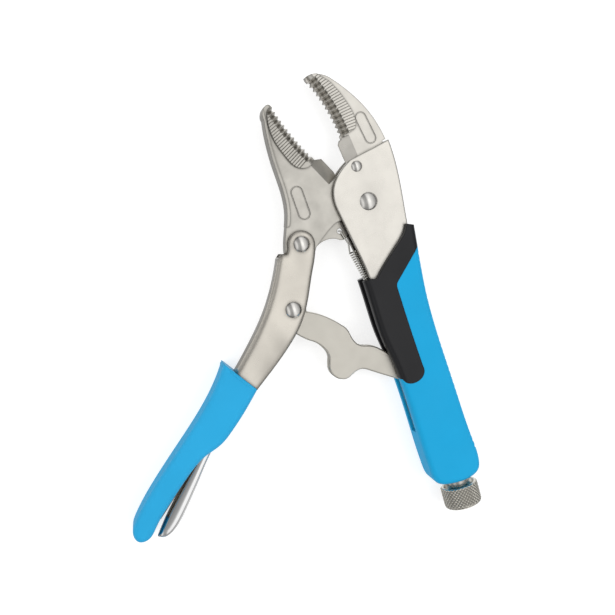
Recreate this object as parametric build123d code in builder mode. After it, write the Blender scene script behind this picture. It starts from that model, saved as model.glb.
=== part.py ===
from build123d import *
import math
import os

os.makedirs("parts", exist_ok=True)

# ---------------------------------------------------------------- driving dimensions, mm
# Sketches are drawn about the main pivot; this places the pivot in the row frame.
PIVOT_X = 74.4
PIVOT_Y = 53.8
MID_Z = 11.0               # height of the mid-plane above the flat underside

JAW_HALF = 4.6             # fixed forging, half thickness (fills the channel)
MOVING_HALF = 4.3          # moving forging, half thickness (runs in both channels)
ARM_HALF = 1.4              # spring arm of the moving jaw
PAD_HALF = 6.0             # raised milled pads beside the teeth
TOOTH_PITCH = 2.8
TOOTH_DEPTH = 1.3
TOOTH_CROWN = 6.4          # radius of the gripping face across the jaw

MILL_PITCH = 1.4           # cutter marks on the pads, two to a tooth
MILL_WIDTH = 0.42          # half width at the surface
MILL_DEPTH = 0.28
MILL_REACH = 12.0

CROWN_HALF = 6.2           # half width over which the gripping faces are crowned

FIXED_FACE_CENTRE = (-104.1, 24.9)
FIXED_FACE_RADIUS = 100.0
FIXED_FACE_START = 7.2     # degrees, throat end of the toothed arc
FIXED_TEETH = 12
MOVING_FACE_CENTRE = (106.9, 107.2)
MOVING_FACE_RADIUS = 150.0
MOVING_FACE_START = 197.6  # degrees, tip end of the toothed arc
MOVING_TEETH = 12

CHANNEL_HALF = 7.0         # pressed fixed channel, outer half width
CHANNEL_WALL = 2.4
HANDLE_HALF = 6.6          # pressed moving channel, outer half width
HANDLE_WALL = 2.0
CHANNEL_GAP_HALF = 4.6     # clear half width inside both channels

PIVOT_R = 4.0              # main rivet shank
RIVET_R = 3.4              # the two handle rivets' shanks
PIN_R = 1.6                # lever pin and spring anchor
RUNNING = 0.06             # radial running clearance

P2 = (-41.5, -12.2)        # moving jaw to moving handle
P3 = (-55.4, -45.1)        # toggle link to moving handle
P4 = (8.0, -104.0)         # toggle nose on the adjusting screw
LEVER_PIN = (-101.0, -85.5)
SPRING_EYE = (-18.6, -11.5)
SPRING_ANCHOR = (-5.6, -61.0)
JAW_RIVET = (-1.3, 19.8)

SPRING_R = 2.0             # coil, to the wire's centre
WIRE_R = 0.45

SCREW_X = 9.0
SCREW_R = 4.0
NOSE_R = 4.5
NOSE_GAP = 1.0             # the loop is opened here: nose to screw tip
KNOB_R = 10.7
KNOB_TOP = -167.6
KNOB_BOTTOM = -180.4

RIB_PITCH = 3.5            # fine ribs down the fixed grip's back
RIB_DEPTH = 0.45
RIB_VALLEY_R = 1.5
GRIP_HALF = 11.0           # fixed grip, half thickness
LEVER_HALF = 3.9
TOGGLE_HALF = 3.6
SLEEVE_HALF = 10.5         # moving grip, half thickness


def level(height):
    """Work plane parallel to the mid-plane, its origin over the main pivot."""
    return Plane(origin=(PIVOT_X, PIVOT_Y, MID_Z + height))


def at(point, height=0.0):
    """A pivot-relative point as a row-frame position."""
    return (PIVOT_X + point[0], PIVOT_Y + point[1], MID_Z + height)


# ---------------------------------------------------------------- outlines
def fixed_channel_outline():
    with BuildLine() as edge:
        top = Polyline((19.4, 29.0), (11.0, 27.0), (3.4, 25.5), (-4.0, 23.9))
        Spline(
            top @ 1, (-11.0, 19.1), (-16.4, 12.3), (-18.1, 5.0), (-17.1, -3.0),
            (-14.2, -18.0), (-10.6, -39.0),
        )
        Polyline((-10.6, -39.0), (-8.0, -90.0), (-4.8, -159.0), (19.2, -159.0))
        Spline(
            (19.2, -159.0), (17.5, -124.0), (15.3, -90.0), (15.1, -62.0), (16.6, -28.0),
            (18.8, -4.0), (20.0, 14.0), (19.4, 29.0),
        )
    return edge.line


def fixed_channel_hollow():
    with BuildLine() as edge:
        Spline(
            (16.8, -160.0), (15.1, -124.0), (12.9, -90.0), (12.7, -62.0), (14.2, -28.0),
            (16.4, -4.0), (17.6, 14.0), (17.0, 30.0),
        )
        Polyline((17.0, 30.0), (-25.0, 30.0), (-25.0, -160.0), (16.8, -160.0))
    return edge.line


def fixed_grip_outline():
    with BuildLine() as edge:
        Spline(
            (20.6, -19.0), (18.8, -38.0), (17.4, -58.0), (17.8, -84.0), (19.4, -112.0), (21.2, -140.0),
            (22.1, -154.0), (20.2, -160.6), (14.4, -163.6), (3.4, -163.8), (-4.6, -160.8), (-6.8, -153.0),
            (-7.9, -130.0), (-9.2, -101.0), (-10.6, -88.0), (-12.9, -74.0), (-13.9, -58.0), (-14.6, -41.0),
        )
        Polyline((-14.6, -41.0), (-10.4, -40.6), (-7.6, -41.6))
        Spline((-7.6, -41.6), (0.5, -33.4), (8.4, -26.6), (13.8, -21.6), (16.2, -17.2))
        Line((16.2, -17.2), (20.6, -19.0))
    return edge.line


def insert_outline():
    """Region of the black moulding; the rest of the grip is blue."""
    with BuildLine() as edge:
        Polyline((30.0, -19.0), (18.2, -31.5), (3.0, -46.2))
        ThreePointArc((3.0, -46.2), (2.2, -47.6), (2.0, -49.4))
        Spline((2.0, -49.4), (2.9, -70.0), (4.4, -94.5))
        Spline((4.4, -94.5), (3.2, -99.8), (-1.6, -102.2), (-6.2, -101.4), (-8.4, -98.6))
        Polyline((-8.4, -98.6), (-30.0, -90.0), (-30.0, -10.0), (30.0, -10.0), (30.0, -19.0))
    return edge.line


def moving_channel_outline():
    with BuildLine() as edge:
        Spline((-34.3, -13.0), (-35.8, -19.0), (-40.6, -29.4), (-47.4, -44.0), (-58.0, -58.6))
        Spline((-58.0, -58.6), (-72.1, -70.6), (-86.5, -81.2), (-104.0, -94.6), (-120.0, -105.0))
        Spline((-120.0, -105.0), (-131.0, -112.0), (-144.0, -123.0), (-155.0, -132.6))
        Line((-155.0, -132.6), (-160.6, -128.0))
        Spline(
            (-160.6, -128.0), (-140.0, -108.6), (-116.0, -87.2), (-94.0, -67.6), (-81.8, -55.2),
            (-69.6, -40.6),
            (-60.6, -25.8), (-56.2, -16.6),
        )
        Polyline((-56.2, -16.6), (-53.6, -14.6), (-50.6, -15.4), (-48.9, -12.2))
        ThreePointArc((-48.9, -12.2), (-41.5, -4.9), (-34.3, -13.0))
    return edge.line


def moving_channel_hollow():
    with BuildLine() as edge:
        Line((-58.0, -12.0), (-54.2, -17.4))
        Spline(
            (-54.2, -17.4), (-58.8, -26.8), (-67.8, -41.6), (-80.2, -56.6), (-92.4, -69.2), (-114.6, -88.8),
            (-138.6, -110.2), (-153.0, -124.0),
        )
        Polyline((-153.0, -124.0), (-166.0, -140.0), (-120.0, -150.0), (-20.0, -60.0), (-20.0, 5.0),
                 (-60.0, 5.0), (-58.0, -12.0))
    return edge.line


def sleeve_outline():
    with BuildLine() as edge:
        Line((-86.2, -80.6), (-99.6, -61.8))
        Spline(
            (-99.6, -61.8), (-111.9, -77.6), (-134.2, -98.0), (-156.5, -117.4), (-168.0, -129.4),
            (-171.2, -135.6), (-169.6, -140.4), (-164.4, -141.0), (-158.6, -136.0), (-147.0, -125.0),
            (-134.4, -114.4), (-122.3, -106.8), (-113.4, -103.6), (-105.4, -98.2), (-95.4, -89.6),
            (-86.2, -80.6),
        )
    return edge.line


def toggle_outline():
    with BuildLine() as edge:
        ThreePointArc((-48.6, -48.4), (-58.0, -37.3), (-62.9, -48.6))
        Spline((-62.9, -48.6), (-57.4, -58.2), (-51.0, -64.2))
        Spline((-51.0, -64.2), (-45.0, -70.0), (-43.2, -75.4), (-44.8, -82.4), (-42.2, -88.4), (-36.8, -90.3),
               (-30.6, -87.9), (-25.6, -88.3))
        Spline((-25.6, -88.3), (-15.1, -95.4), (-5.0, -101.8), (4.8, -107.2))
        ThreePointArc((4.8, -107.2), (10.9, -107.4), (10.8, -100.5))
        Spline((10.8, -100.5), (0.0, -93.4), (-9.7, -85.2))
        Spline((-9.7, -85.2), (-14.4, -79.9), (-19.6, -76.6), (-24.6, -74.8), (-27.4, -71.4), (-28.8, -66.0),
               (-31.6, -61.2))
        Spline((-31.6, -61.2), (-39.8, -53.4), (-48.6, -48.4))
    return edge.line


def lever_outline():
    with BuildLine() as edge:
        Spline((-93.0, -80.6), (-106.0, -93.0), (-121.6, -109.6), (-132.2, -122.6), (-146.6, -138.8))
        Spline((-146.6, -138.8), (-151.4, -142.6), (-156.4, -143.9), (-160.0, -142.6))
        Spline((-160.0, -142.6), (-149.8, -131.0), (-138.6, -119.6), (-121.0, -101.6), (-102.0, -80.8))
        Spline((-102.0, -80.8), (-95.0, -75.0), (-90.4, -75.6), (-93.0, -80.6))
    return edge.line


def fixed_jaw_outline():
    face = FIXED_FACE_RADIUS
    start = math.radians(FIXED_FACE_START)
    end = math.radians(26.8)
    low = (FIXED_FACE_CENTRE[0] + face * math.cos(start), FIXED_FACE_CENTRE[1] + face * math.sin(start))
    high = (FIXED_FACE_CENTRE[0] + face * math.cos(end), FIXED_FACE_CENTRE[1] + face * math.sin(end))
    with BuildLine() as edge:
        Line(high, (-15.0, 72.4))
        Spline((-15.0, 72.4), (-10.6, 73.0), (-5.6, 71.4), (-1.4, 68.0))
        Spline((-1.4, 68.0), (6.0, 59.0), (13.4, 46.6), (17.0, 36.6), (18.5, 29.8))
        Polyline((18.5, 29.8), (16.6, 29.4), (16.4, 12.4), (10.0, 8.5))
        ThreePointArc((10.0, 8.5), (3.4, 12.7), (-4.6, 12.3))
        Polyline((-4.6, 12.3), (-4.9, 20.0), (-5.6, 24.9), (-6.9, 33.4), (-5.0, 36.4), low)
        RadiusArc(low, high, face)
    return edge.line


def fixed_pad_outline():
    """Raised milled pad behind the fixed teeth; it runs past the gripping face."""
    with BuildLine() as edge:
        Polyline((-16.0, 80.0), (-3.0, 66.8), (0.6, 60.2))
        Spline((0.6, 60.2), (3.8, 51.6), (5.0, 44.6), (4.6, 41.4))
        ThreePointArc((4.6, 41.4), (4.0, 40.0), (2.4, 39.1))
        Polyline((2.4, 39.1), (-5.4, 36.6), (-40.0, 40.0), (-40.0, 80.0), (-16.0, 80.0))
    return edge.line


def moving_pad_outline():
    with BuildLine() as edge:
        Spline(
            (-40.0, 60.5), (-41.4, 53.0), (-40.4, 43.6), (-36.9, 34.4), (-32.4, 27.6), (-29.0, 26.2),
            (-22.0, 30.4),
        )
        Polyline((-22.0, 30.4), (-10.0, 45.0), (-28.0, 70.0), (-40.0, 60.5))
    return edge.line


def moving_jaw_outline():
    face = MOVING_FACE_RADIUS
    start = math.radians(MOVING_FACE_START)
    end = math.radians(210.6)
    tip = (MOVING_FACE_CENTRE[0] + face * math.cos(start), MOVING_FACE_CENTRE[1] + face * math.sin(start))
    low = (MOVING_FACE_CENTRE[0] + face * math.cos(end), MOVING_FACE_CENTRE[1] + face * math.sin(end))
    with BuildLine() as edge:
        Polyline(low, (-21.9, 29.2), (-17.7, 28.7), (-13.0, 20.2), (-12.2, 16.0))
        ThreePointArc((-12.2, 16.0), (-9.0, 9.6), (0.0, 12.0))
        ThreePointArc((0.0, 12.0), (12.0, 0.0), (0.0, -12.0))
        Spline((0.0, -12.0), (-8.6, -9.2), (-17.0, -6.0), (-24.1, -8.8), (-33.9, -16.2))
        ThreePointArc((-33.9, -16.2), (-43.0, -21.4), (-51.0, -14.6))
        Spline((-51.0, -14.6), (-48.3, -5.4), (-44.7, 4.9), (-43.4, 17.0), (-44.2, 32.0),
               (-44.2, 44.0), (-43.0, 56.5))
        Spline((-43.0, 56.5), (-42.2, 61.4), (-39.6, 63.6), tip)
        RadiusArc(low, tip, -face)
    return edge.line


# ---------------------------------------------------------------- shared cutters
def tooth_cutter(centre, radius, start_deg, step_deg, count):
    """Crowned gripping face: one profile cut across the jaw and a V ring at every tooth."""
    with BuildPart() as cutter:
        for index in range(count):
            angle = math.radians(start_deg + step_deg * (index + 0.5))
            radial = (math.cos(angle), math.sin(angle), 0)
            spot = (centre[0] + radius * radial[0], centre[1] + radius * radial[1])
            tangent = (-radial[1], radial[0], 0)
            ring_plane = Plane(origin=at(spot), x_dir=radial, z_dir=(0, 0, 1))
            with BuildSketch(ring_plane) as notch:
                with BuildLine():
                    Polyline(
                        (-0.6, -TOOTH_PITCH * 0.62),
                        (-0.6, TOOTH_PITCH * 0.62),
                        (0.0, TOOTH_PITCH * 0.46),
                        (TOOTH_DEPTH, 0.0),
                        (0.0, -TOOTH_PITCH * 0.46),
                        (-0.6, -TOOTH_PITCH * 0.62),
                    )
                make_face()
            hub = (spot[0] + TOOTH_CROWN * radial[0], spot[1] + TOOTH_CROWN * radial[1])
            turning = Axis(at(hub), tangent)
            revolve(notch.sketch, axis=turning, revolution_arc=74)
            revolve(notch.sketch, axis=turning, revolution_arc=-74)
    return cutter.part


def crown_cutter(centre, radius, from_deg, arc_deg):
    """Everything in front of the crowned face, swept round the face's own centre."""
    angle = math.radians(from_deg)
    radial = (math.cos(angle), math.sin(angle), 0)
    tangent = (-radial[1], radial[0], 0)
    reach = 6.0
    half = CROWN_HALF
    drop = TOOTH_CROWN - math.sqrt(TOOTH_CROWN ** 2 - half ** 2)
    with BuildPart() as cutter:
        with BuildSketch(Plane(origin=at(centre), x_dir=radial, z_dir=(-tangent[0], -tangent[1], 0))):
            with BuildLine():
                ThreePointArc((radius + drop, -half), (radius, 0), (radius + drop, half))
                Polyline((radius + drop, half), (radius - reach, half), (radius - reach, -half),
                         (radius + drop, -half))
            make_face()
        revolve(axis=Axis(at(centre), (0, 0, 1)), revolution_arc=arc_deg)
    return cutter.part


def bevel_cutter(start, end, depth, half):
    """Wire-cutter bevels: two wedges that leave a sharp edge on the mid-plane."""
    run = math.hypot(end[0] - start[0], end[1] - start[1])
    along = ((end[0] - start[0]) / run, (end[1] - start[1]) / run, 0)
    inward = (-along[1], along[0], 0)
    with BuildPart() as cutter:
        with BuildSketch(Plane(origin=at(start), x_dir=inward, z_dir=along)):
            with BuildLine():
                Polyline((-2.0, -0.2), (0.0, -0.2), (depth, -half - 0.1), (-2.0, -half - 0.1), (-2.0, -0.2))
            make_face()
            with BuildLine():
                Polyline((-2.0, 0.2), (0.0, 0.2), (depth, half + 0.1), (-2.0, half + 0.1), (-2.0, 0.2))
            make_face()
        extrude(amount=run)
    return cutter.part


def milled_lines(centre, radius, from_deg, to_deg, sign, slant):
    """Fine cutter marks across a raised pad, on both of its sides, two to each tooth."""
    step = math.degrees(MILL_PITCH / radius)
    count = int((to_deg - from_deg) / step)
    with BuildPart() as cutter:
        for index in range(count):
            angle = math.radians(from_deg + step * (index + 0.5))
            lean = angle + math.radians(slant)
            spot = (centre[0] + radius * math.cos(angle), centre[1] + radius * math.sin(angle))
            along = (math.cos(lean), math.sin(lean), 0)
            for side in (1, -1):
                with BuildSketch(Plane(origin=at(spot, side * PAD_HALF), x_dir=(0, 0, side), z_dir=along)):
                    with BuildLine():
                        Polyline((0.3, -MILL_WIDTH), (0.3, MILL_WIDTH), (-MILL_DEPTH, 0.0),
                                 (0.3, -MILL_WIDTH))
                    make_face()
                extrude(amount=MILL_REACH * sign)
    return cutter.part


def dome_rivet(spot, shank, head, face, rise):
    """Round-headed rivet through both walls, a dome on each side."""
    ball = (head * head + rise * rise) / (2 * rise)
    with BuildPart() as rivet:
        with BuildSketch(Plane(origin=at(spot), x_dir=(1, 0, 0), z_dir=(0, -1, 0))):
            with BuildLine():
                Polyline((0, -face - rise), (0, face + rise))
                RadiusArc((0, face + rise), (head, face), ball)
                Polyline((head, face), (shank, face), (shank, -face), (head, -face))
                RadiusArc((head, -face), (0, -face - rise), ball)
            make_face()
        revolve(axis=Axis(at(spot), (0, 0, 1)), revolution_arc=360)
    return rivet.part


# ---------------------------------------------------------------- fixed side
with BuildPart() as fixed_channel:
    with BuildSketch(level(0)):
        make_face(fixed_channel_outline())
    extrude(amount=CHANNEL_HALF, both=True)
    back = fixed_channel.faces().filter_by(lambda f: f.normal_at().X > 0.8).sort_by(Axis.X)[-1]
    fillet([e for e in back.edges() if e.length > 60], radius=3.0)
    with BuildSketch(level(0)):
        make_face(fixed_channel_hollow())
    extrude(amount=CHANNEL_GAP_HALF, both=True, mode=Mode.SUBTRACT)
    for spot, radius in (((0, 0), PIVOT_R), (JAW_RIVET, 2.0), (SPRING_ANCHOR, PIN_R)):
        with BuildSketch(level(0)):
            with Locations(spot):
                Circle(radius)
        extrude(amount=20, both=True, mode=Mode.SUBTRACT)
fixed_channel.part.label = "fixed_channel"
export_step(fixed_channel.part, "parts/fixed_channel.step")


with BuildPart() as fixed_jaw:
    with BuildSketch(level(0)):
        make_face(fixed_jaw_outline())
    extrude(amount=JAW_HALF, both=True)
    with BuildSketch(level(0)):
        make_face(fixed_pad_outline())
        make_face(fixed_jaw_outline(), mode=Mode.INTERSECT)
    extrude(amount=PAD_HALF, both=True)
    step = math.degrees(TOOTH_PITCH / FIXED_FACE_RADIUS)
    add(crown_cutter(FIXED_FACE_CENTRE, FIXED_FACE_RADIUS, FIXED_FACE_START - 1.0, 24.0), mode=Mode.SUBTRACT)
    teeth = tooth_cutter(FIXED_FACE_CENTRE, FIXED_FACE_RADIUS, FIXED_FACE_START, step, FIXED_TEETH)
    add(teeth, mode=Mode.SUBTRACT)
    marks = milled_lines(FIXED_FACE_CENTRE, FIXED_FACE_RADIUS, FIXED_FACE_START + 0.4, 27.0, 1, -4.0)
    with BuildPart() as marked:
        add(marks)
        with BuildSketch(level(0)):
            make_face(fixed_pad_outline())
        extrude(amount=20, both=True, mode=Mode.INTERSECT)
    add(marked.part, mode=Mode.SUBTRACT)
    add(bevel_cutter((-7.3, 36.2), (-5.3, 22.4), 7.0, JAW_HALF), mode=Mode.SUBTRACT)
    with BuildSketch(level(JAW_HALF - 0.4)):
        with Locations((9.4, 38.4)):
            SlotCenterToCenter(12.0, 6.4, rotation=101.5)
            SlotCenterToCenter(12.0, 5.2, rotation=101.5, mode=Mode.SUBTRACT)
    extrude(amount=0.5, mode=Mode.SUBTRACT)
    with BuildSketch(level(-JAW_HALF + 0.4)):
        with Locations((9.4, 38.4)):
            SlotCenterToCenter(12.0, 6.4, rotation=101.5)
            SlotCenterToCenter(12.0, 5.2, rotation=101.5, mode=Mode.SUBTRACT)
    extrude(amount=-0.5, mode=Mode.SUBTRACT)
    with BuildSketch(level(0)):
        with Locations(JAW_RIVET):
            Circle(2.0)
    extrude(amount=20, both=True, mode=Mode.SUBTRACT)
fixed_jaw.part.label = "fixed_jaw"
export_step(fixed_jaw.part, "parts/fixed_jaw.step")

for name, solid in (
    ("pivot_rivet", dome_rivet((0.0, 0.0), PIVOT_R, 4.9, CHANNEL_HALF, 2.1)),
    ("jaw_rivet", dome_rivet(JAW_RIVET, 2.0, 3.0, CHANNEL_HALF, 1.4)),
    ("handle_rivet", dome_rivet(P2, RIVET_R, 4.4, HANDLE_HALF, 2.0)),
    ("link_rivet", dome_rivet(P3, RIVET_R, 4.4, HANDLE_HALF, 2.0)),
):
    solid.label = name
    export_step(solid, "parts/" + name + ".step")

for name, spot, half in (
    ("spring_anchor_pin", SPRING_ANCHOR, CHANNEL_HALF),
    ("lever_pin", LEVER_PIN, HANDLE_HALF),
):
    with BuildPart() as pin:
        with BuildSketch(level(0)):
            with Locations(spot):
                Circle(PIN_R)
        extrude(amount=half, both=True)
    pin.part.label = name
    export_step(pin.part, "parts/" + name + ".step")

with BuildPart() as end_nut:
    nut_plane = Plane(origin=at((SCREW_X, -159.0)), x_dir=(1, 0, 0), z_dir=(0, 1, 0))
    with BuildSketch(nut_plane):
        Rectangle(12.0, 2 * CHANNEL_GAP_HALF)
    extrude(amount=13.0)
    with BuildSketch(nut_plane):
        Circle(6.0)
    extrude(amount=-9.0)
    chamfer(end_nut.faces().sort_by(Axis.Y)[0].edges(), length=0.7)
    with BuildSketch(nut_plane):
        Circle(SCREW_R + RUNNING)
    extrude(amount=40.0, both=True, mode=Mode.SUBTRACT)
end_nut.part.label = "end_nut"
export_step(end_nut.part, "parts/end_nut.step")


def rib_valleys():
    """Centres of the shallow valleys that leave fine ribs down the grip's back."""
    back = [(19.0, -35.0), (17.4, -58.0), (17.8, -84.0), (19.4, -112.0), (21.2, -140.0), (21.9, -150.0)]
    centres = []
    y = back[0][1]
    while y > back[-1][1]:
        upper = [q for q in back if q[1] >= y][-1]
        lower = [q for q in back if q[1] < y][0]
        share = (upper[1] - y) / (upper[1] - lower[1])
        x = upper[0] + share * (lower[0] - upper[0])
        centres.append((x + RIB_VALLEY_R - RIB_DEPTH, y))
        y -= RIB_PITCH
    return centres


def grip_body():
    """The whole moulded cover of the fixed handle, before it is split into two colours."""
    with BuildPart() as cover:
        with BuildSketch(level(0)):
            make_face(fixed_grip_outline())
        extrude(amount=GRIP_HALF, both=True)
        rim = cover.faces().sort_by(Axis.Z)[-1].edges() + cover.faces().sort_by(Axis.Z)[0].edges()
        fillet([e for e in rim if e.length > 60], radius=3.2)
        with BuildSketch(level(0)):
            with Locations(*rib_valleys()):
                Circle(RIB_VALLEY_R)
        extrude(amount=20, both=True, mode=Mode.SUBTRACT)
        with BuildSketch(level(0)):
            make_face(fixed_channel_outline())
        extrude(amount=CHANNEL_HALF, both=True, mode=Mode.SUBTRACT)
        with BuildSketch(level(0)):
            with BuildLine():
                Polyline((-30.0, -20.0), (-30.0, -131.0), (-6.0, -131.0), (4.0, -120.0), (4.0, -20.0),
                         (-30.0, -20.0))
            make_face()
        extrude(amount=CHANNEL_GAP_HALF, both=True, mode=Mode.SUBTRACT)
        with BuildSketch(Plane(origin=at((SCREW_X, -150.0)), x_dir=(1, 0, 0), z_dir=(0, 1, 0))):
            Circle(6.0)
        extrude(amount=-30.0, mode=Mode.SUBTRACT)
    return cover.part


with BuildPart() as fixed_grip:
    add(grip_body())
    with BuildSketch(level(0)):
        make_face(insert_outline())
    extrude(amount=20, both=True, mode=Mode.SUBTRACT)
fixed_grip.part.label = "fixed_grip"
export_step(fixed_grip.part, "parts/fixed_grip.step")

with BuildPart() as grip_insert:
    add(grip_body())
    with BuildSketch(level(0)):
        make_face(insert_outline())
    extrude(amount=20, both=True, mode=Mode.INTERSECT)
grip_insert.part.label = "grip_insert"
export_step(grip_insert.part, "parts/grip_insert.step")


# ---------------------------------------------------------------- moving side
with BuildPart() as moving_jaw:
    with BuildSketch(level(0)):
        make_face(moving_jaw_outline())
    extrude(amount=MOVING_HALF, both=True)
    with BuildSketch(level(0)):
        make_face(moving_pad_outline())
        with BuildLine():
            Spline((-41.4, 66.0), (-42.0, 56.0), (-42.6, 44.0), (-42.4, 30.0), (-41.6, 17.0),
                   (-42.6, 6.0), (-45.0, -1.5))
            Polyline((-45.0, -1.5), (-60.0, 0.0), (-60.0, 66.0), (-41.4, 66.0))
        make_face()
        make_face(moving_jaw_outline(), mode=Mode.INTERSECT)
    extrude(amount=PAD_HALF, both=True)
    with BuildSketch(level(0)):
        with BuildLine():
            Spline((-9.0, -7.0), (-12.2, -8.6), (-13.8, -12.2))
            ThreePointArc((-13.8, -12.2), (-15.6, -15.8), (-19.4, -16.4))
            Spline((-19.4, -16.4), (-24.6, -14.2), (-29.8, -14.6), (-35.0, -17.4))
            Polyline((-35.0, -17.4), (-30.0, -8.0), (-9.0, 0.0), (-9.0, -7.0))
        make_face()
    extrude(amount=ARM_HALF, both=True)
    step = math.degrees(TOOTH_PITCH / MOVING_FACE_RADIUS)
    add(crown_cutter(MOVING_FACE_CENTRE, MOVING_FACE_RADIUS, MOVING_FACE_START - 1.0, 14.6),
        mode=Mode.SUBTRACT)
    teeth = tooth_cutter(MOVING_FACE_CENTRE, MOVING_FACE_RADIUS, MOVING_FACE_START, step, MOVING_TEETH)
    add(teeth, mode=Mode.SUBTRACT)
    marks = milled_lines(MOVING_FACE_CENTRE, MOVING_FACE_RADIUS, MOVING_FACE_START + 0.3, 210.4, 1, 3.0)
    with BuildPart() as marked:
        add(marks)
        with BuildSketch(level(0)):
            make_face(moving_pad_outline())
        extrude(amount=20, both=True, mode=Mode.INTERSECT)
    add(marked.part, mode=Mode.SUBTRACT)
    add(bevel_cutter((-11.8, 18.0), (-19.0, 31.0), 7.4, MOVING_HALF), mode=Mode.SUBTRACT)
    with BuildSketch(level(MOVING_HALF - 0.4)):
        with Locations((-35.8, 9.0)):
            SlotCenterToCenter(12.0, 6.8, rotation=94.0)
            SlotCenterToCenter(12.0, 5.6, rotation=94.0, mode=Mode.SUBTRACT)
    extrude(amount=0.5, mode=Mode.SUBTRACT)
    with BuildSketch(level(-MOVING_HALF + 0.4)):
        with Locations((-35.8, 9.0)):
            SlotCenterToCenter(12.0, 6.8, rotation=94.0)
            SlotCenterToCenter(12.0, 5.6, rotation=94.0, mode=Mode.SUBTRACT)
    extrude(amount=-0.5, mode=Mode.SUBTRACT)
    for spot, radius in (((0, 0), PIVOT_R + RUNNING), (P2, RIVET_R + RUNNING), (SPRING_EYE, 1.5)):
        with BuildSketch(level(0)):
            with Locations(spot):
                Circle(radius)
        extrude(amount=20, both=True, mode=Mode.SUBTRACT)
moving_jaw.part.label = "moving_jaw"
export_step(moving_jaw.part, "parts/moving_jaw.step")

with BuildPart() as moving_channel:
    with BuildSketch(level(0)):
        make_face(moving_channel_outline())
    extrude(amount=HANDLE_HALF, both=True)
    fillet([e for e in moving_channel.edges()
                if e.length > 120 and abs(e.center().Z - MID_Z) > 1], radius=2.6)
    with BuildSketch(level(0)):
        make_face(moving_channel_hollow())
    extrude(amount=CHANNEL_GAP_HALF, both=True, mode=Mode.SUBTRACT)
    for spot, radius in ((P2, RIVET_R), (P3, RIVET_R), (LEVER_PIN, PIN_R)):
        with BuildSketch(level(0)):
            with Locations(spot):
                Circle(radius)
        extrude(amount=20, both=True, mode=Mode.SUBTRACT)
moving_channel.part.label = "moving_channel"
export_step(moving_channel.part, "parts/moving_channel.step")

with BuildPart() as moving_grip:
    with BuildSketch(level(0)):
        make_face(sleeve_outline())
    extrude(amount=SLEEVE_HALF, both=True)
    rim = moving_grip.faces().sort_by(Axis.Z)[-1].edges() + moving_grip.faces().sort_by(Axis.Z)[0].edges()
    fillet([e for e in rim if e.length > 60], radius=3.0)
    with BuildSketch(level(0)):
        make_face(moving_channel_outline())
    extrude(amount=HANDLE_HALF, both=True, mode=Mode.SUBTRACT)
    with BuildSketch(level(0)):
        with BuildLine():
            Polyline((-80.0, -60.0), (-100.0, -72.0), (-153.0, -122.0), (-163.4, -132.0), (-166.0, -137.4))
            Polyline((-166.0, -137.4), (-160.0, -150.0), (-140.0, -150.0), (-80.0, -100.0), (-80.0, -60.0))
        make_face()
    extrude(amount=CHANNEL_GAP_HALF, both=True, mode=Mode.SUBTRACT)
moving_grip.part.label = "moving_grip"
export_step(moving_grip.part, "parts/moving_grip.step")

with BuildPart() as toggle_link:
    with BuildSketch(level(0)):
        make_face(toggle_outline())
    extrude(amount=TOGGLE_HALF, both=True)
    with BuildSketch(level(0)):
        with Locations(P3):
            Circle(RIVET_R + RUNNING)
    extrude(amount=20, both=True, mode=Mode.SUBTRACT)
toggle_link.part.label = "toggle_link"
export_step(toggle_link.part, "parts/toggle_link.step")

with BuildPart() as release_lever:
    with BuildSketch(level(0)):
        make_face(lever_outline())
    extrude(amount=LEVER_HALF, both=True)
    with BuildSketch(level(0)):
        with Locations(LEVER_PIN):
            Circle(PIN_R + RUNNING)
    extrude(amount=20, both=True, mode=Mode.SUBTRACT)
release_lever.part.label = "release_lever"
export_step(release_lever.part, "parts/release_lever.step")


# ---------------------------------------------------------------- spring and screw
with BuildPart() as jaw_spring:
    start = (-14.3, -24.5)
    end = (-7.4, -54.0)
    run = math.hypot(end[0] - start[0], end[1] - start[1])
    along = ((end[0] - start[0]) / run, (end[1] - start[1]) / run, 0)
    with BuildLine() as coil:
        Helix(pitch=1.35, height=run, radius=SPRING_R, center=at(start), direction=along)
    with BuildSketch(Plane(origin=coil.line @ 0, z_dir=coil.line % 0)):
        Circle(WIRE_R)
    sweep(path=coil.line, is_frenet=True)
    first = coil.line @ 0
    last = coil.line @ 1
    hook_z = ARM_HALF + 0.9
    with BuildLine() as top_hook:
        Polyline(first, at((-16.0, -19.5), hook_z), at(SPRING_EYE, hook_z), at(SPRING_EYE, -hook_z))
    with BuildSketch(Plane(origin=top_hook.line @ 0, z_dir=top_hook.line % 0)):
        Circle(WIRE_R)
    sweep(path=top_hook.line, transition=Transition.ROUND)
    loop_r = PIN_R + WIRE_R + 0.15
    ax, ay = SPRING_ANCHOR
    with BuildLine() as end_hook:
        Polyline(last, at((ax - loop_r, ay + 2.4)), at((ax - loop_r, ay)))
        ThreePointArc(at((ax - loop_r, ay)), at((ax, ay - loop_r)), at((ax + loop_r, ay)))
    with BuildSketch(Plane(origin=end_hook.line @ 0, z_dir=end_hook.line % 0)):
        Circle(WIRE_R)
    sweep(path=end_hook.line, transition=Transition.ROUND)
jaw_spring.part.label = "jaw_spring"
export_step(jaw_spring.part, "parts/jaw_spring.step")

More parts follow.
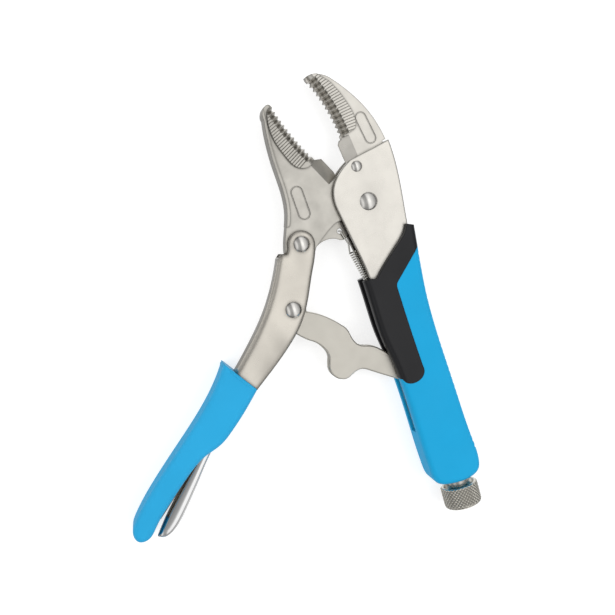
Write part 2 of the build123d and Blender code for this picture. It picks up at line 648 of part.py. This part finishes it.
screw_tip = P4[1] - NOSE_R - NOSE_GAP
with BuildPart() as adjusting_screw:
    with BuildSketch(Plane(origin=at((SCREW_X, 0)), x_dir=(1, 0, 0), z_dir=(0, 0, 1))):
        with BuildLine():
            Polyline((0, screw_tip), (1.6, screw_tip))
            ThreePointArc((1.6, screw_tip), (2.7, screw_tip - 0.5), (3.2, screw_tip - 1.6))
            Polyline((3.2, screw_tip - 1.6), (3.2, screw_tip - 5), (SCREW_R, screw_tip - 6),
                     (SCREW_R, -177.0), (0, -177.0),
                     (0, screw_tip))
        make_face()
    revolve(axis=Axis(at((SCREW_X, 0)), (0, 1, 0)), revolution_arc=360)
adjusting_screw.part.label = "adjusting_screw"
export_step(adjusting_screw.part, "parts/adjusting_screw.step")

with BuildPart() as knob:
    with BuildSketch(Plane(origin=at((SCREW_X, 0)), x_dir=(1, 0, 0), z_dir=(0, 0, 1))):
        with BuildLine():
            Polyline(
                (SCREW_R + RUNNING, KNOB_TOP - 2.5),
                (KNOB_R - 2.2, KNOB_TOP - 2.5),
                (KNOB_R - 1.6, KNOB_TOP),
                (KNOB_R - 0.8, KNOB_TOP),
                (KNOB_R, KNOB_TOP - 0.9),
                (KNOB_R, KNOB_BOTTOM + 2.6),
            )
            ThreePointArc((KNOB_R, KNOB_BOTTOM + 2.6), (KNOB_R - 0.8, KNOB_BOTTOM + 0.8),
                          (KNOB_R - 2.6, KNOB_BOTTOM))
            Polyline(
                (KNOB_R - 2.6, KNOB_BOTTOM),
                (0, KNOB_BOTTOM),
                (0, -177.0 - RUNNING),
                (SCREW_R + RUNNING, -177.0 - RUNNING),
                (SCREW_R + RUNNING, KNOB_TOP - 2.5),
            )
        make_face()
    revolve(axis=Axis(at((SCREW_X, 0)), (0, 1, 0)), revolution_arc=360)
knob.part.label = "adjusting_knob"
export_step(knob.part, "parts/adjusting_knob.step")
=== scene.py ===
import math

import bpy
from mathutils import Matrix, Vector


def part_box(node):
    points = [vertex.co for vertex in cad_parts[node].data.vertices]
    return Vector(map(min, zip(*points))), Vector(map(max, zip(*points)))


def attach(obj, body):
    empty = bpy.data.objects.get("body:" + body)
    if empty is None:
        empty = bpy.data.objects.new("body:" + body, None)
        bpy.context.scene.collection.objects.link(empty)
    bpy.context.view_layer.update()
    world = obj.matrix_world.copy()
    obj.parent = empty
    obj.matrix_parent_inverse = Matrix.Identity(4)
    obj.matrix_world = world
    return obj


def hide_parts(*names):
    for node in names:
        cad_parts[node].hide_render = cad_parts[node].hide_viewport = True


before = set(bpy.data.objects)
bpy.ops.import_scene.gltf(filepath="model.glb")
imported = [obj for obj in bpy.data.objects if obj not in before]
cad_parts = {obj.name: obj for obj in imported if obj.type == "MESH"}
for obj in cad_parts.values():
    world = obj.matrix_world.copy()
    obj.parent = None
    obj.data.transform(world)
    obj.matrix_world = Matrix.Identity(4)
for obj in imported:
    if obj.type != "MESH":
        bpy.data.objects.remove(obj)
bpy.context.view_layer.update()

MM = 0.001
PIVOT = Vector((74.4, 53.8, 11.0)) * MM          # main pivot, on the mid-plane


def spot(x, y, z=0.0):
    """A point in mm about the main pivot, as a place in metres."""
    return PIVOT + Vector((x, y, z)) * MM


# ---------------------------------------------------------------- camera
CAMERA_AT = spot(-120.8, 15.9, 536.0)
CAMERA_RIGHT = Vector((0.9493, -0.2693, 0.1624)).normalized()
CAMERA_AHEAD = Vector((0.1357, -0.1150, -0.9840)).normalized()
LENS_MM = 58.36

cam_data = bpy.data.cameras.new("camera")
cam_data.lens = LENS_MM
cam_data.sensor_width = 36.0
cam_data.clip_start = 0.01
cam_data.dof.use_dof = False
camera = bpy.data.objects.new("camera", cam_data)
bpy.context.collection.objects.link(camera)
up = CAMERA_RIGHT.cross(CAMERA_AHEAD).normalized()
turn = Matrix((CAMERA_RIGHT, up, -CAMERA_AHEAD)).transposed()
camera.matrix_world = Matrix.Translation(CAMERA_AT) @ turn.to_4x4()
bpy.context.scene.camera = camera


# ---------------------------------------------------------------- light and floor
bpy.context.scene.view_settings.view_transform = "Standard"


def area_light(name, place, aim, size, power):
    data = bpy.data.lights.new(name, "AREA")
    data.shape = "RECTANGLE"
    data.size, data.size_y = size
    data.energy = power
    data.color = (1.0, 1.0, 1.0)
    light = bpy.data.objects.new(name, data)
    bpy.context.collection.objects.link(light)
    light.location = place
    light.rotation_euler = (Vector(aim) - Vector(place)).to_track_quat("-Z", "Y").to_euler()
    light.visible_glossy = False
    return light


area_light("key", (-0.9, 0.5, 1.3), (0, 0, 0), (1.0, 1.0), 9.0)
area_light("fill", (0.9, -0.2, 1.3), (0, 0, 0), (1.0, 1.0), 7.0)


# where each brightness falls: up the sky, and across it from -X to +X
WORLD_BY_HEIGHT = [(0.0, 0.84), (0.04, 0.14), (0.12, 0.15), (0.30, 0.66), (0.80, 0.82), (1.0, 1.0)]
WORLD_BY_SIDE = [
    (0.0, 0.45), (0.12, 0.90), (0.25, 0.36), (0.42, 0.32),
    (0.53, 0.94), (0.66, 1.0), (0.80, 0.72), (1.0, 0.45),
]
WORLD_STRENGTH = 1.22


def studio_world():
    """A soft gradient: bright overhead and underneath, dark in a low band, banded from side to side."""
    world = bpy.data.worlds.new("studio")
    bpy.context.scene.world = world
    world.use_nodes = True
    tree = world.node_tree
    sky = tree.nodes["Background"]
    place = tree.nodes.new("ShaderNodeTexCoord")
    split = tree.nodes.new("ShaderNodeSeparateXYZ")
    tree.links.new(place.outputs["Generated"], split.inputs[0])

    def ramp(source, stops):
        node = tree.nodes.new("ShaderNodeValToRGB")
        node.color_ramp.interpolation = "EASE"
        while len(node.color_ramp.elements) < len(stops):
            node.color_ramp.elements.new(0.5)
        for element, (where, value) in zip(node.color_ramp.elements, stops):
            element.position = where
            element.color = (value, value, value, 1.0)
        tree.links.new(source, node.inputs["Fac"])
        return node.outputs["Color"]

    height = ramp(split.outputs["Z"], WORLD_BY_HEIGHT)
    shift = tree.nodes.new("ShaderNodeMath")
    shift.operation = "MULTIPLY_ADD"
    tree.links.new(split.outputs["X"], shift.inputs[0])
    shift.inputs[1].default_value = 0.5
    shift.inputs[2].default_value = 0.5
    side = ramp(shift.outputs[0], WORLD_BY_SIDE)
    both = tree.nodes.new("ShaderNodeMix")
    both.data_type = "RGBA"
    both.blend_type = "MULTIPLY"
    colours = [s for s in both.inputs if s.type == "RGBA"]
    both.inputs["Factor"].default_value = 1.0
    tree.links.new(height, colours[0])
    tree.links.new(side, colours[1])
    tree.links.new([s for s in both.outputs if s.type == "RGBA"][0], sky.inputs["Color"])
    sky.inputs["Strength"].default_value = WORLD_STRENGTH


studio_world()


def plain_floor():
    """White paper just under the object, kept out of the metals' reflections."""
    mesh = bpy.data.meshes.new("floor")
    half = 3.0
    low = -0.0003
    corners = [(-half, -half, low), (half, -half, low), (half, half, low), (-half, half, low)]
    mesh.from_pydata(corners, [], [(0, 1, 2, 3)])
    floor = bpy.data.objects.new("floor", mesh)
    bpy.context.collection.objects.link(floor)
    paint = bpy.data.materials.new("floor_paper")
    paint.use_nodes = True
    shader = paint.node_tree.nodes["Principled BSDF"]
    shader.inputs["Base Color"].default_value = (0.50, 0.50, 0.50, 1.0)
    shader.inputs["Roughness"].default_value = 0.9
    shader.inputs["Emission Color"].default_value = (1.0, 1.0, 1.0, 1.0)
    shader.inputs["Emission Strength"].default_value = 0.66
    mesh.materials.append(paint)
    floor.visible_glossy = False


plain_floor()


# ---------------------------------------------------------------- material helpers
class Finish:
    """One node-based material; every map runs in object space, in metres."""

    def __init__(self, name, colour, metallic=0.0, roughness=0.5):
        self.material = bpy.data.materials.new(name)
        self.material.use_nodes = True
        self.tree = self.material.node_tree
        self.shader = self.tree.nodes["Principled BSDF"]
        self.shader.inputs["Base Color"].default_value = (*colour, 1.0)
        self.shader.inputs["Metallic"].default_value = metallic
        self.shader.inputs["Roughness"].default_value = roughness
        self.place = self.tree.nodes.new("ShaderNodeTexCoord").outputs["Object"]
        self.height = None

    def node(self, kind, **settings):
        made = self.tree.nodes.new(kind)
        for key, value in settings.items():
            if key in made.inputs:
                made.inputs[key].default_value = value
            else:
                setattr(made, key, value)
        return made

    def link(self, out, into):
        self.tree.links.new(out, into)

    def noise(self, scale, detail=3.0, rough=0.55, stretch=None):
        tex = self.node("ShaderNodeTexNoise")
        tex.inputs["Scale"].default_value = scale
        tex.inputs["Detail"].default_value = detail
        tex.inputs["Roughness"].default_value = rough
        source = self.place
        if stretch:
            mapping = self.node("ShaderNodeMapping")
            mapping.inputs["Rotation"].default_value = stretch[0]
            mapping.inputs["Scale"].default_value = stretch[1]
            self.link(source, mapping.inputs["Vector"])
            source = mapping.outputs["Vector"]
        self.link(source, tex.inputs["Vector"])
        return tex.outputs["Fac"]

    def spread(self, fac, low, high, start=0.3, end=0.7):
        """Map a 0 to 1 map onto low to high."""
        ranger = self.node("ShaderNodeMapRange")
        ranger.inputs["From Min"].default_value = start
        ranger.inputs["From Max"].default_value = end
        ranger.inputs["To Min"].default_value = low
        ranger.inputs["To Max"].default_value = high
        self.link(fac, ranger.inputs["Value"])
        return ranger.outputs["Result"]

    def tint(self, fac, first, second):
        mix = self.node("ShaderNodeMix", data_type="RGBA")
        colours = [s for s in mix.inputs if s.type == "RGBA"]
        colours[0].default_value = (*first, 1.0)
        colours[1].default_value = (*second, 1.0)
        self.link(fac, mix.inputs["Factor"])
        out = [s for s in mix.outputs if s.type == "RGBA"][0]
        self.link(out, self.shader.inputs["Base Color"])
        return out

    def painted_edge_shade(self, colour_out, reach_mm, least=0.62):
        """Painted shade: the base colour slightly darkened in a soft band along every edge."""
        wide = self.node("ShaderNodeBevel")
        wide.inputs["Radius"].default_value = reach_mm * MM
        wide.samples = 8
        flat = self.node("ShaderNodeNewGeometry")
        dot = self.node("ShaderNodeVectorMath")
        dot.operation = "DOT_PRODUCT"
        self.link(wide.outputs["Normal"], dot.inputs[0])
        self.link(flat.outputs["Normal"], dot.inputs[1])
        shade = self.spread(dot.outputs["Value"], least, 1.0, 0.80, 1.0)
        scale = self.node("ShaderNodeVectorMath")
        scale.operation = "SCALE"
        self.link(colour_out, scale.inputs[0])
        self.link(shade, scale.inputs["Scale"])
        self.link(scale.outputs[0], self.shader.inputs["Base Color"])
        return scale.outputs[0]

    def crevice_shade(self, colour_out, shade, reach_mm=1.2):
        """Painted crevice shade: the base colour darkened by ambient occlusion in the crevices, where little light
        gets in.
        """
        near = self.node("ShaderNodeAmbientOcclusion")
        near.samples = 6
        near.inputs["Distance"].default_value = reach_mm * MM
        fac = self.spread(near.outputs["AO"], 0.0, 1.0, 0.30, 0.92)
        mix = self.node("ShaderNodeMix", data_type="RGBA")
        colours = [s for s in mix.inputs if s.type == "RGBA"]
        colours[0].default_value = (*shade, 1.0)
        self.link(fac, mix.inputs["Factor"])
        self.link(colour_out, colours[1])
        self.link([s for s in mix.outputs if s.type == "RGBA"][0], self.shader.inputs["Base Color"])

    def rough(self, fac, low, high):
        self.link(self.spread(fac, low, high), self.shader.inputs["Roughness"])

    def bump(self, fac, depth_mm, strength=1.0):
        bump = self.node("ShaderNodeBump")
        bump.inputs["Strength"].default_value = strength
        bump.inputs["Distance"].default_value = depth_mm * MM
        self.link(fac, bump.inputs["Height"])
        if self.height:
            self.link(self.height, bump.inputs["Normal"])
        self.height = bump.outputs["Normal"]
        self.link(self.height, self.shader.inputs["Normal"])


def paint_stored_shade(material, depth=0.66):
    """Multiply the base colour by a painted shade stored in a point attribute of the mesh."""
    tree = material.node_tree
    shader = tree.nodes["Principled BSDF"]
    old = shader.inputs["Base Color"].links[0].from_socket
    painted_shade = tree.nodes.new("ShaderNodeAttribute")
    painted_shade.attribute_name = "painted_shade"
    shade = tree.nodes.new("ShaderNodeMath")
    shade.operation = "MULTIPLY_ADD"
    tree.links.new(painted_shade.outputs["Fac"], shade.inputs[0])
    shade.inputs[1].default_value = -depth
    shade.inputs[2].default_value = 1.0
    mix = tree.nodes.new("ShaderNodeVectorMath")
    mix.operation = "SCALE"
    tree.links.new(old, mix.inputs[0])
    tree.links.new(shade.outputs[0], mix.inputs["Scale"])
    tree.links.new(mix.outputs[0], shader.inputs["Base Color"])


def nickel(name, colour, roughness, grain=0.010, edge=0.3, mottle=0.06, sheet=0.0, crevice_shade=0.22, wear=38.0,
           rim=0.0, reach=1.2, least=0.62):
    """Plated or bare steel: slow tarnish, satin grain, painted shade in the crevices and along the edges, and
    softened edges.
    """
    f = Finish(name, colour, 1.0, roughness)
    cloud = f.noise(wear, 3.0)
    base = f.tint(f.spread(cloud, 0.0, 1.0, 0.25, 0.75), tuple(c * (1.0 - mottle) for c in colour), colour)
    # painted shade along the edges: rim sets the band width, least the darkest share of the colour
    if rim:
        base = f.painted_edge_shade(base, rim, least)
    # painted crevice shade from ambient occlusion, reach mm deep
    if crevice_shade:
        f.crevice_shade(base, tuple(c * crevice_shade for c in colour), reach)
    f.rough(f.noise(160.0, 3.0), roughness - 0.025, roughness + 0.035)
    if edge:
        soft = f.node("ShaderNodeBevel")
        soft.inputs["Radius"].default_value = edge * MM
        soft.samples = 6
        f.height = soft.outputs["Normal"]
    if sheet:
        f.bump(f.noise(22.0, 1.0), sheet)
    f.bump(f.noise(1300.0, 2.0), grain * 0.6)
    return f.material


# rim and least in these calls set the width and depth of the painted edge shade
plate = nickel("nickel_plate", (0.79, 0.76, 0.70), 0.26, 0.006, 0.9, 0.08,
               sheet=5.0, rim=1.8, reach=2.0, least=0.42)
pressed = nickel("pressed_channel", (0.71, 0.67, 0.60), 0.25, 0.006, 2.4, 0.08,
                 sheet=8.0, rim=5.0, reach=2.0, least=0.40)
forged = nickel("forged_plate", (0.77, 0.74, 0.68), 0.29, 0.035, 0.35, 0.14, sheet=4.0, wear=90.0,
                rim=1.6, reach=1.6, crevice_shade=0.42)
cast = nickel("forged_moving_jaw", (0.655, 0.63, 0.575), 0.32, 0.06, 0.35, 0.20, sheet=5.0, wear=120.0,
              rim=1.6, reach=1.6, crevice_shade=0.42)
bright = nickel("bright_steel", (0.90, 0.88, 0.84), 0.19, 0.002, 0.0, crevice_shade=0.35)
satin = nickel("satin_link", (0.73, 0.70, 0.63), 0.44, 0.010, 0.0, 0.05, sheet=0.8, crevice_shade=0.6)
wire = nickel("spring_wire", (0.78, 0.77, 0.72), 0.20, 0.002, 0.0, crevice_shade=0.12)
knurled = nickel("knurled_steel", (0.80, 0.77, 0.69), 0.24, 0.003, 0.0, 0.12, crevice_shade=0.14)
# painted shade in the knurl grooves and the bore of the knob
paint_stored_shade(knurled)
dark = nickel("turned_steel", (0.66, 0.63, 0.58), 0.26, 0.004, crevice_shade=0.2)
polish = nickel("polished_lever", (0.88, 0.88, 0.88), 0.12, 0.002, 0.0, crevice_shade=0.4)
# painted shade along the inner side of the lever, standing in for a dark reflection
paint_stored_shade(polish)


def moulded(name, colour, roughness, grain, gloss=0.5):
    """Soft moulded grip: fine spark-eroded texture, rubbed smoother in slow patches."""
    f = Finish(name, colour, 0.0, roughness)
    f.shader.inputs["Specular IOR Level"].default_value = gloss
    base = f.tint(f.spread(f.noise(30.0, 3.0), 0.0, 1.0), tuple(c * 0.93 for c in colour), colour)
    # painted crevice shade from ambient occlusion on the grip
    f.crevice_shade(base, tuple(c * 0.55 for c in colour), 1.6)
    f.rough(f.noise(40.0, 4.0), roughness - 0.06, roughness + 0.08)
    soft = f.node("ShaderNodeBevel")
    soft.inputs["Radius"].default_value = 0.7 * MM
    soft.samples = 6
    f.height = soft.outputs["Normal"]
    f.bump(f.noise(26.0, 1.0), 0.5)
    f.bump(f.noise(1400.0, 4.0), grain)
    return f.material


blue = moulded("blue_grip", (0.008, 0.375, 0.700), 0.50, 0.02, 0.22)
sleeve_blue = moulded("blue_sleeve", (0.022, 0.395, 0.730), 0.50, 0.02, 0.22)
black = moulded("black_grip", (0.011, 0.011, 0.0125), 0.33, 0.02, 0.30)

LOOKS = {
    "fixed_channel": plate, "moving_channel": pressed,
    "fixed_jaw": forged, "moving_jaw": cast,
    "jaw_rivet": bright, "pivot_rivet": bright, "handle_rivet": bright, "link_rivet": bright,
    "spring_anchor_pin": bright, "lever_pin": bright, "adjusting_screw": bright,
    "end_nut": dark, "fixed_grip": blue, "moving_grip": sleeve_blue, "grip_insert": black,
    "toggle_link": satin, "release_lever": polish, "jaw_spring": wire, "adjusting_knob": knurled,
}
for node_name, look in LOOKS.items():
    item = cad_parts[node_name]
    for index in range(len(item.material_slots)):
        item.material_slots[index].material = look


# ---------------------------------------------------------------- mesh helpers
def add_piece(name, verts, faces, body, look, stands_for=()):
    mesh = bpy.data.meshes.new(name)
    mesh.from_pydata([tuple(v) for v in verts], [], faces)
    mesh.update()
    mesh.polygons.foreach_set("use_smooth", [True] * len(mesh.polygons))
    mesh.materials.append(look)
    piece = bpy.data.objects.new(name, mesh)
    bpy.context.collection.objects.link(piece)
    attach(piece, body)
    if stands_for:
        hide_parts(*stands_for)
    return piece


def grid_faces(rings, around):
    """Quads of a closed tube of rings, each with the same number of points."""
    faces = []
    for i in range(rings - 1):
        for j in range(around):
            k = (j + 1) % around
            faces.append((i * around + j, (i + 1) * around + j, (i + 1) * around + k, i * around + k))
    return faces


# ---------------------------------------------------------------- knurled knob
def knob_piece():
    low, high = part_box("adjusting_knob")
    axis_x = (low[0] + high[0]) / 2
    axis_z = (low[2] + high[2]) / 2
    radius = (high[0] - low[0]) / 2
    top, bottom = high[1], low[1]
    around = 288
    cuts = 31                 # knurl ridges each way round the rim
    cut_depth = 0.70 * MM
    bore = 4.06 * MM
    profile = [                # radius, y, share of the knurl's depth
        (bore, top - 2.5 * MM, 0), (radius - 2.9 * MM, top - 2.5 * MM, 0), (radius - 2.5 * MM, top - 2.2 * MM, 0),
        (radius - 2.2 * MM, top - 0.5 * MM, 0), (radius - 1.9 * MM, top - 0.1 * MM, 0), (radius - 1.3 * MM, top, 0),
        (radius - 0.7 * MM, top - 0.15 * MM, 0), (radius - 0.25 * MM, top - 0.55 * MM, 0.2),
    ]
    side_top = top - 0.8 * MM
    side_low = bottom + 2.2 * MM
    for k in range(53):
        y = side_top + (side_low - side_top) * k / 52
        profile.append((radius, y, 1.0))
    profile += [
        (radius - 0.12 * MM, bottom + 1.7 * MM, 0.8), (radius - 0.4 * MM, bottom + 1.15 * MM, 0.5),
        (radius - 0.9 * MM, bottom + 0.6 * MM, 0.2), (radius - 1.6 * MM, bottom + 0.2 * MM, 0),
        (radius - 2.6 * MM, bottom, 0), (radius * 0.5, bottom, 0), (0.25 * MM, bottom, 0),
    ]
    lead = cuts / radius       # ridges lean 45 degrees on the rim
    verts = []
    painted_shade = []
    for r, y, share in profile:
        for j in range(around):
            turn = 2 * math.pi * j / around
            depth = 0.0
            ridge = 0.0
            if share:
                first = (cuts * turn + lead * (y - bottom)) / (2 * math.pi) % 1.0
                second = (cuts * turn - lead * (y - bottom)) / (2 * math.pi) % 1.0
                ridge = max(abs(first - 0.5), abs(second - 0.5)) * 2
                depth = cut_depth * share * ridge ** 1.6
            # painted shade in the knurl grooves, strongest at the groove bottoms
            painted_shade.append(share * max(ridge - 0.70, 0.0) / 0.30)
            verts.append((axis_x + (r - depth) * math.cos(turn), y, axis_z + (r - depth) * math.sin(turn)))
    faces = [tuple(reversed(f)) for f in grid_faces(len(profile), around)]
    last = (len(profile) - 1) * around
    faces.append(tuple(range(last, last + around)))
    faces += [(j, (j + 1) % around, (j + 1) % around + len(verts), j + len(verts)) for j in range(around)]
    inner = [(axis_x + bore * math.cos(2 * math.pi * j / around), bottom + 3.3 * MM,
              axis_z + bore * math.sin(2 * math.pi * j / around)) for j in range(around)]
    verts += inner
    faces.append(tuple(reversed(range(len(verts) - around, len(verts)))))
    piece = add_piece("knurled_knob", verts, faces, "knob", knurled, ("adjusting_knob",))
    # the bore ring gets the full painted shade
    painted_shade += [1.0] * (len(verts) - len(painted_shade))
    piece.data.attributes.new("painted_shade", "FLOAT", "POINT").data.foreach_set("value", painted_shade)
    return piece


knob_piece()


# ---------------------------------------------------------------- release lever, a pressed channel
def smooth_line(points, count):
    """Evenly spaced points on a Catmull-Rom curve through the given points."""
    pts = [Vector(p) for p in points]
    pts = [2 * pts[0] - pts[1]] + pts + [2 * pts[-1] - pts[-2]]
    fine = []
    for i in range(1, len(pts) - 2):
        p0, p1, p2, p3 = pts[i - 1:i + 3]
        for k in range(24):
            t = k / 24
            fine.append(0.5 * (2 * p1 + (p2 - p0) * t + (2 * p0 - 5 * p1 + 4 * p2 - p3) * t * t
                               + (3 * p1 - p0 - 3 * p2 + p3) * t ** 3))
    fine.append(pts[-2])
    reach = [0.0]
    for a, b in zip(fine, fine[1:]):
        reach.append(reach[-1] + (b - a).length)
    out = []
    j = 0
    for k in range(count):
        want = reach[-1] * k / (count - 1)
        while j < len(reach) - 2 and reach[j + 1] < want:
            j += 1
        share = (want - reach[j]) / max(reach[j + 1] - reach[j], 1e-12)
        out.append(fine[j].lerp(fine[j + 1], min(max(share, 0.0), 1.0)))
    return out


def lever_piece():
    """Polished pressing: rounded over on the handle side, a thin turned lip on the open side."""
    stations = 70
    inner = smooth_line([(-96.5, -74.6, 0), (-102.4, -80.2, 0), (-121.2, -101.0, 0), (-138.8, -119.2, 0),
                         (-150.0, -131.0, 0), (-156.4, -138.6, 0), (-159.4, -142.4, 0)], stations)
    outer = smooth_line([(-91.0, -77.0, 0), (-93.4, -80.6, 0), (-106.0, -92.8, 0), (-121.5, -109.3, 0),
                         (-132.1, -122.3, 0), (-144.0, -136.2, 0), (-150.6, -141.9, 0), (-155.8, -143.6, 0),
                         (-159.3, -142.9, 0)], stations)
    half = 3.9
    turned = [(0.0, 0.30), (0.02, 0.46), (0.06, 0.60), (0.12, 0.72), (0.20, 0.82), (0.30, 0.90), (0.42, 0.96),
              (0.56, 0.99), (0.70, 0.985), (0.80, 0.955), (0.865, 0.925), (0.895, 0.975), (0.93, 1.0),
              (0.965, 0.985), (0.99, 0.93), (1.0, 0.82)]
    around = 2 * len(turned)
    verts = []
    # painted shade standing in for a dark reflection: darkest at the inner edge (u = 0), gone by mid-width
    shade = [max(0.0, 1.0 - u / 0.50) ** 0.8 for u, _ in turned]
    for a, b in zip(inner, outer):
        width = (b - a).length
        swell = half * min(1.0, (width / 5.0)) ** 0.5
        top = [(a.lerp(b, u), share * swell) for u, share in turned]
        for p, z in top + [(q, -h) for q, h in reversed(top)]:
            verts.append(spot(p.x, p.y, z))
    faces = [tuple(reversed(f)) for f in grid_faces(stations, around)]
    faces.append(tuple(range(around)))
    faces.append(tuple(reversed(range((stations - 1) * around, stations * around))))
    piece = add_piece("pressed_lever", verts, faces, "release_lever", polish, ("release_lever",))
    # the same painted shade on the top and the bottom face, for every station
    side_shade = (shade + shade[::-1]) * stations
    piece.data.attributes.new("painted_shade", "FLOAT", "POINT").data.foreach_set("value", side_shade)
    return piece


lever_piece()


# ---------------------------------------------------------------- sleeve rim: a beaded lip
def sleeve_rim():
    half = 10.0
    edge = [(-86.9, -80.0), (-99.4, -62.6)]
    corner = 3.0
    a, b = Vector(edge[0]), Vector(edge[1])
    along = (b - a).normalized()
    inward = Vector((along.y, -along.x))      # down the sleeve
    if inward.y > 0:
        inward = -inward
    length = (b - a).length
    path = []
    for k in range(0, 121):
        t = k / 120 * 2 * math.pi
        power = 0.32
        u = math.copysign(abs(math.cos(t)) ** power, math.cos(t))
        v = math.copysign(abs(math.sin(t)) ** power, math.sin(t))
        mid = (a + b) / 2 + along * (u * length / 2 * 0.985)
        path.append(spot(mid.x + inward.x * 0.9, mid.y + inward.y * 0.9, v * (half - 0.2)))
    path = path[:-1]
    verts, around = [], 10
    n = len(path)
    down = Vector((inward.x, inward.y, 0)).normalized()
    for i in range(n):
        tangent = (path[(i + 1) % n] - path[i - 1]).normalized()
        side = tangent.cross(down).normalized()
        for j in range(around):
            turn = 2 * math.pi * j / around
            verts.append(path[i] + 0.95 * MM * math.cos(turn) * side + 1.0 * MM * math.sin(turn) * down)
    faces = []
    for i in range(n):
        for j in range(around):
            k = (j + 1) % around
            m = (i + 1) % n
            faces.append((i * around + j, m * around + j, m * around + k, i * around + k))
    return add_piece("sleeve_rim", verts, faces, "moving_handle", sleeve_blue)


sleeve_rim()


# ---------------------------------------------------------------- softened edges on the toggle link
SOFT_EDGES = {"toggle_link": (0.9, 4)}
for node_name, (width, steps) in SOFT_EDGES.items():
    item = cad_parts[node_name]
    weld = item.modifiers.new("weld", "WELD")
    weld.merge_threshold = 1e-6
    merge = item.modifiers.new("merge", "DECIMATE")
    merge.decimate_type = "DISSOLVE"
    merge.angle_limit = math.radians(0.6)
    soften = item.modifiers.new("soften", "BEVEL")
    soften.width = width * MM
    soften.segments = steps
    soften.limit_method = "ANGLE"
    soften.angle_limit = math.radians(32)
    soften.use_clamp_overlap = False
    soften.harden_normals = True
